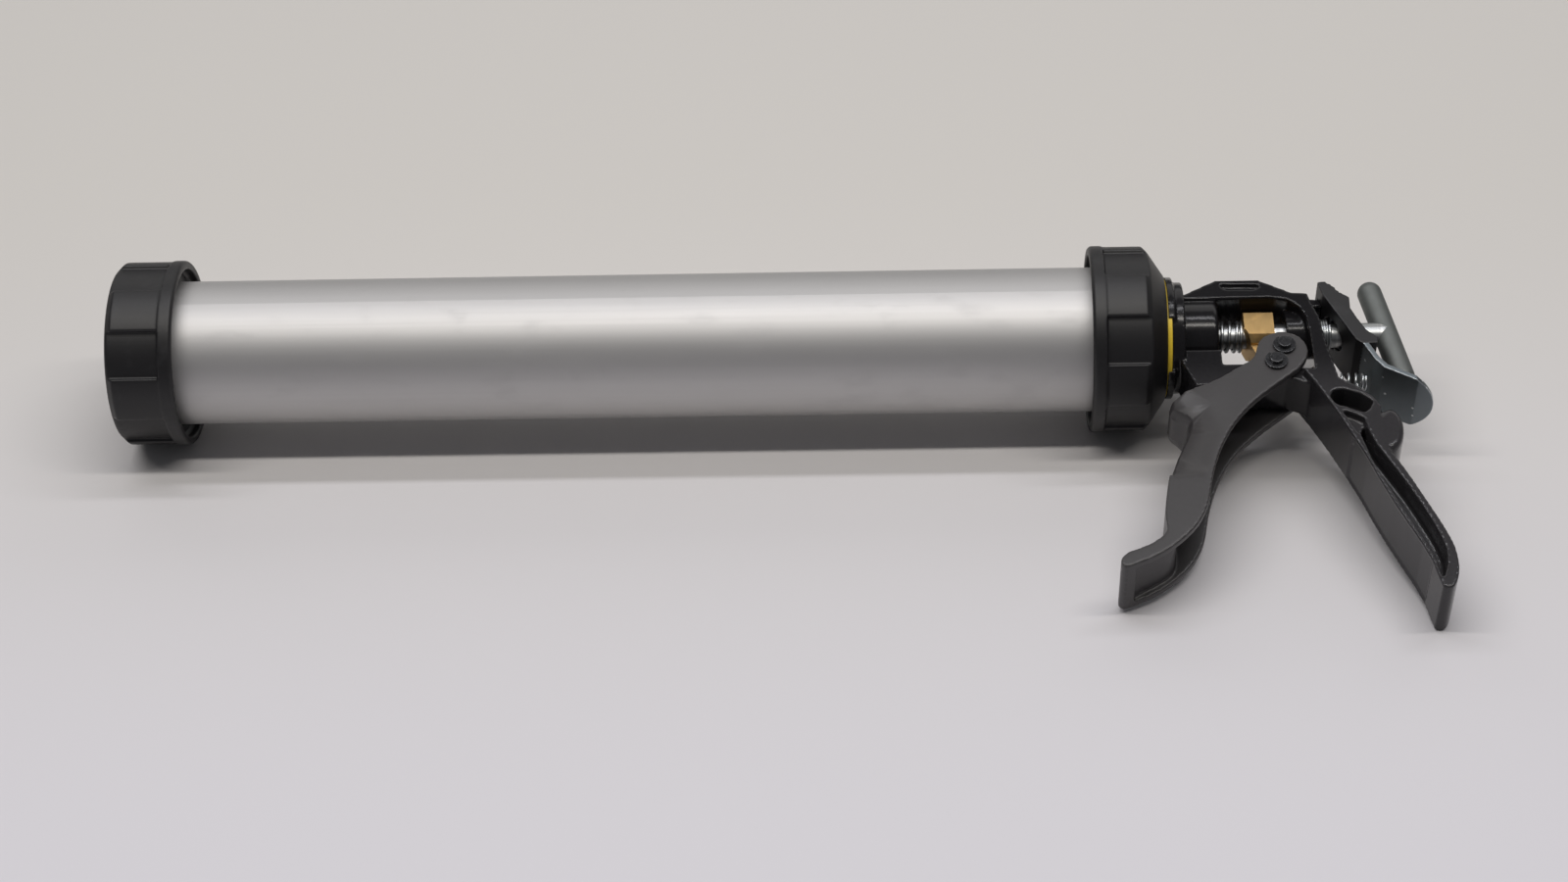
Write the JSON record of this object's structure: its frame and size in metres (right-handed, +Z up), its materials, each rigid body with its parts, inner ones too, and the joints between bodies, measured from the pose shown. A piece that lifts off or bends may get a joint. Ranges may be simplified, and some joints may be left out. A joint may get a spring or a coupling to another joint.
{
  "type": "caulking gun",
  "caption": "Caulking gun for foil packs: alloy barrel between ribbed screw caps, cast handle and trigger, brass drive block, plunger rod with a cross bar and a thumb release.",
  "frame": {"origin": "middle of the footprint on the floor, with the gun lying on its right side on both caps and the end of the grip", "axes": "+X along the barrel from the nozzle end to the handle end, +Z up from the floor, +Y away from the grip"},
  "size_m": [0.4804, 0.1606, 0.0686],
  "materials": {
    "black_casting": "satin black paint on cast metal",
    "black_trigger": "satin black paint on cast metal",
    "black_plastic": "moulded black plastic",
    "thumb_plastic": "moulded black plastic",
    "barrel_alloy": "satin drawn tube",
    "zinc_steel": "bright zinc plate",
    "rod_steel": "drawn steel, zinc plate",
    "spring_steel": "bright zinc plated wire",
    "brass": "machined brass",
    "pin_steel": "blackened steel",
    "yellow_washer": "moulded yellow plastic",
    "seal_rubber": "moulded rubber",
    "piston_plastic": "moulded natural plastic",
    "ring_plastic": "moulded black plastic"
  },
  "bodies": {
    "frame": {"frame_casting": "black_casting", "swivel_washer": "yellow_washer", "swivel_plate": "zinc_steel", "swivel_clip": "pin_steel", "catch_spring": "spring_steel", "lever_spring": "spring_steel", "drive_spring": "spring_steel"},
    "barrel": {"rear_cap": "black_plastic", "rear_thread_ring": "ring_plastic", "barrel_tube": "barrel_alloy", "front_thread_ring": "ring_plastic"},
    "seal_ring": {"front_seal": "seal_rubber"},
    "front_cap": {"front_cap": "black_plastic"},
    "piston": {"piston_cup": "piston_plastic"},
    "plunger": {"plunger_rod": "rod_steel", "cross_bar": "rod_steel", "piston_front_washer": "zinc_steel", "piston_back_washer": "zinc_steel", "piston_nut": "zinc_steel"},
    "trigger": {"trigger": "black_trigger", "pivot_pin": "pin_steel", "drive_pin": "pin_steel", "pin_clips": "pin_steel"},
    "drive": {"drive_block": "brass"},
    "release": {"release_strip": "zinc_steel", "thumb_block": "thumb_plastic"}
  },
  "joints": [
    {"name": "barrel_swivel", "type": "hinge", "parent": "frame", "child": "barrel", "pos_m": [0.14665, 0.04598, 0.0343], "axis": [1, 0, 0], "continuous": true},
    {"name": "front_cap_advance", "type": "slide", "parent": "barrel", "child": "seal_ring", "axis": [-1, 0, 0], "range_m": [0, 0.01202]},
    {"name": "front_cap_turn", "type": "hinge", "parent": "seal_ring", "child": "front_cap", "pos_m": [-0.23335, 0.04598, 0.0343], "axis": [-1, 0, 0], "range_deg": [0, 1080]},
    {"name": "rod_slide", "type": "slide", "parent": "frame", "child": "piston", "axis": [1, 0, 0], "range_m": [0, 0.318]},
    {"name": "rod_spin", "type": "hinge", "parent": "piston", "child": "plunger", "pos_m": [0.14665, 0.04598, 0.0343], "axis": [1, 0, 0], "range_deg": [-75, 75]},
    {"name": "trigger_pull", "type": "hinge", "parent": "frame", "child": "trigger", "pos_m": [0.18395, 0.02324, 0.03027], "axis": [0, -0.1745, 0.9847], "range_deg": [0, 32], "stiffness_Nm_per_rad": 0.3, "springref_deg": -20.05, "deforming": ["drive_spring"]},
    {"name": "drive_stroke", "type": "slide", "parent": "frame", "child": "drive", "axis": [-1, 0, 0], "range_m": [0, 0.00453]},
    {"name": "release_press", "type": "hinge", "parent": "frame", "child": "release", "pos_m": [0.20425, 0.05681, 0.03622], "axis": [0, 0.1745, -0.9847], "range_deg": [0, 5], "stiffness_Nm_per_rad": 1.2, "springref_deg": -4.58, "deforming": ["catch_spring", "lever_spring"]}
  ],
  "couplings": [
    {"joint": "front_cap_advance", "follows": "front_cap_turn", "m_per_rad": 0.00063662},
    {"joint": "drive_stroke", "follows": "trigger_pull", "m_per_rad": 0.0080684}
  ]
}
